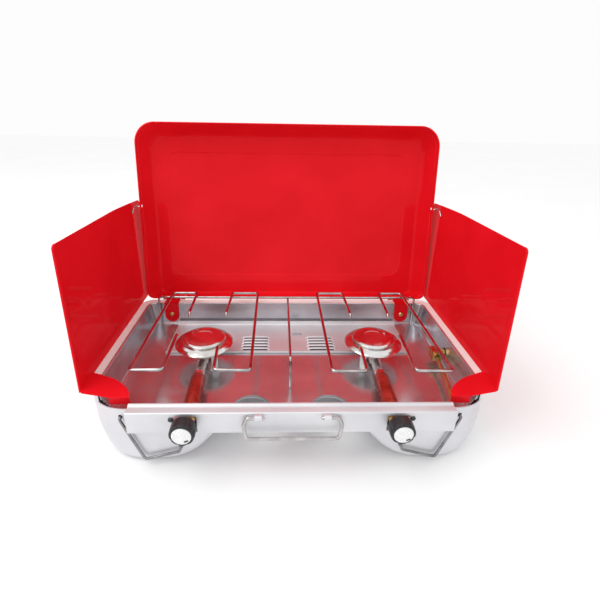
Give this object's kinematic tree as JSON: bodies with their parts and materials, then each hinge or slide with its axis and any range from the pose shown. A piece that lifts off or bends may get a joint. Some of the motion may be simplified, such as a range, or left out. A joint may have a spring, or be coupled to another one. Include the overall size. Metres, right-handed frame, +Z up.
{
  "type": "camping stove",
  "caption": "Folding gas camping stove, open: red lid and side wind shields, silver lobed case, drip tray, twin burners, wire pan supports, front knobs and a wire carrying handle.",
  "frame": {"origin": "centre of the bounding box's base, on the ground", "axes": "+X to the cook's right, along the stove's length; +Y away from the cook, towards the lid; +Z up"},
  "size_m": [0.5582, 0.4352, 0.4033],
  "materials": {
    "red_enamel": "glossy baked enamel",
    "pressed_aluminium": "satin, faintly brushed",
    "polished_tray": "polished with a light brushing",
    "chrome_wire": "bright plated",
    "chrome_burner": "plated, slightly heat worn",
    "cast_alloy": "cast, pale",
    "tinted_sleeve": "dark red-brown, satin",
    "brass": "machined",
    "steel_fastener": "zinc plated",
    "black_knob": "moulded, satin",
    "silver_insert": "silvered face"
  },
  "bodies": {
    "case": {"case_shell": "pressed_aluminium", "drip_tray": "polished_tray", "rear_heat_plate": "pressed_aluminium", "control_panel": "pressed_aluminium", "corner_wire_left": "chrome_wire", "burner_cap_left": "chrome_burner", "burner_head_left": "chrome_burner", "burner_elbow_left": "cast_alloy", "mixing_tube_left": "chrome_burner", "air_sleeve_left": "tinted_sleeve", "burner_bracket_left": "cast_alloy", "gas_valve_left": "brass", "panel_screw_left": "steel_fastener", "handle_clip_left": "steel_fastener", "hinge_leaf_left": "red_enamel", "hinge_rivet_left": "brass", "hinge_pin_left": "steel_fastener", "corner_wire_right": "chrome_wire", "burner_cap_right": "chrome_burner", "burner_head_right": "chrome_burner", "burner_elbow_right": "cast_alloy", "mixing_tube_right": "chrome_burner", "air_sleeve_right": "tinted_sleeve", "burner_bracket_right": "cast_alloy", "gas_valve_right": "brass", "panel_screw_right": "steel_fastener", "handle_clip_right": "steel_fastener", "hinge_leaf_right": "red_enamel", "hinge_rivet_right": "brass", "hinge_pin_right": "steel_fastener", "gas_manifold": "brass", "gas_inlet_fitting": "brass"},
    "lid": {"lid_shell": "red_enamel", "lid_hinge_leaf_left": "red_enamel", "lid_lug_left": "red_enamel", "lid_hinge_leaf_right": "red_enamel", "lid_lug_right": "red_enamel", "lug_rivet_left_outer": "steel_fastener", "lug_rivet_left_inner": "steel_fastener", "lug_rivet_right_outer": "steel_fastener", "lug_rivet_right_inner": "steel_fastener"},
    "wind_shield_left": {"wind_shield_left": "red_enamel", "shield_hook_left": "chrome_wire"},
    "wind_shield_right": {"wind_shield_right": "red_enamel", "shield_hook_right": "chrome_wire"},
    "pan_support": {"pan_support_outer_left": "chrome_wire", "pan_support_inner_left": "chrome_wire", "pan_support_inner_right": "chrome_wire", "pan_support_outer_right": "chrome_wire", "pan_support_rail": "chrome_wire", "pan_support_prop": "chrome_wire"},
    "carry_handle": {"carry_handle": "chrome_wire"},
    "knob_left": {"valve_stem_left": "brass", "knob_left": "black_knob", "knob_insert_left": "silver_insert"},
    "knob_right": {"valve_stem_right": "brass", "knob_right": "black_knob", "knob_insert_right": "silver_insert"}
  },
  "joints": [
    {"name": "lid_fold", "type": "hinge", "parent": "case", "child": "lid", "pos_m": [0, 0.13272, 0.0945], "axis": [-1, 0, 0], "range_deg": [-99, 0]},
    {"name": "wind_shield_left_lift", "type": "slide", "parent": "case", "child": "wind_shield_left", "axis": [0, 0, 1], "range_m": [0, 0.2]},
    {"name": "wind_shield_right_lift", "type": "slide", "parent": "case", "child": "wind_shield_right", "axis": [0, 0, 1], "range_m": [0, 0.2]},
    {"name": "pan_support_lift", "type": "slide", "parent": "case", "child": "pan_support", "axis": [0, 0, 1], "range_m": [0, 0.15]},
    {"name": "handle_swing", "type": "hinge", "parent": "case", "child": "carry_handle", "pos_m": [0, -0.19728, 0.0874], "axis": [-1, 0, 0], "range_deg": [0, 100]},
    {"name": "knob_left_turn", "type": "hinge", "parent": "case", "child": "knob_left", "pos_m": [-0.131, -0.17628, 0.077], "axis": [0, -1, 0], "range_deg": [0, 270]},
    {"name": "knob_right_turn", "type": "hinge", "parent": "case", "child": "knob_right", "pos_m": [0.131, -0.17628, 0.077], "axis": [0, -1, 0], "range_deg": [0, 270]}
  ]
}
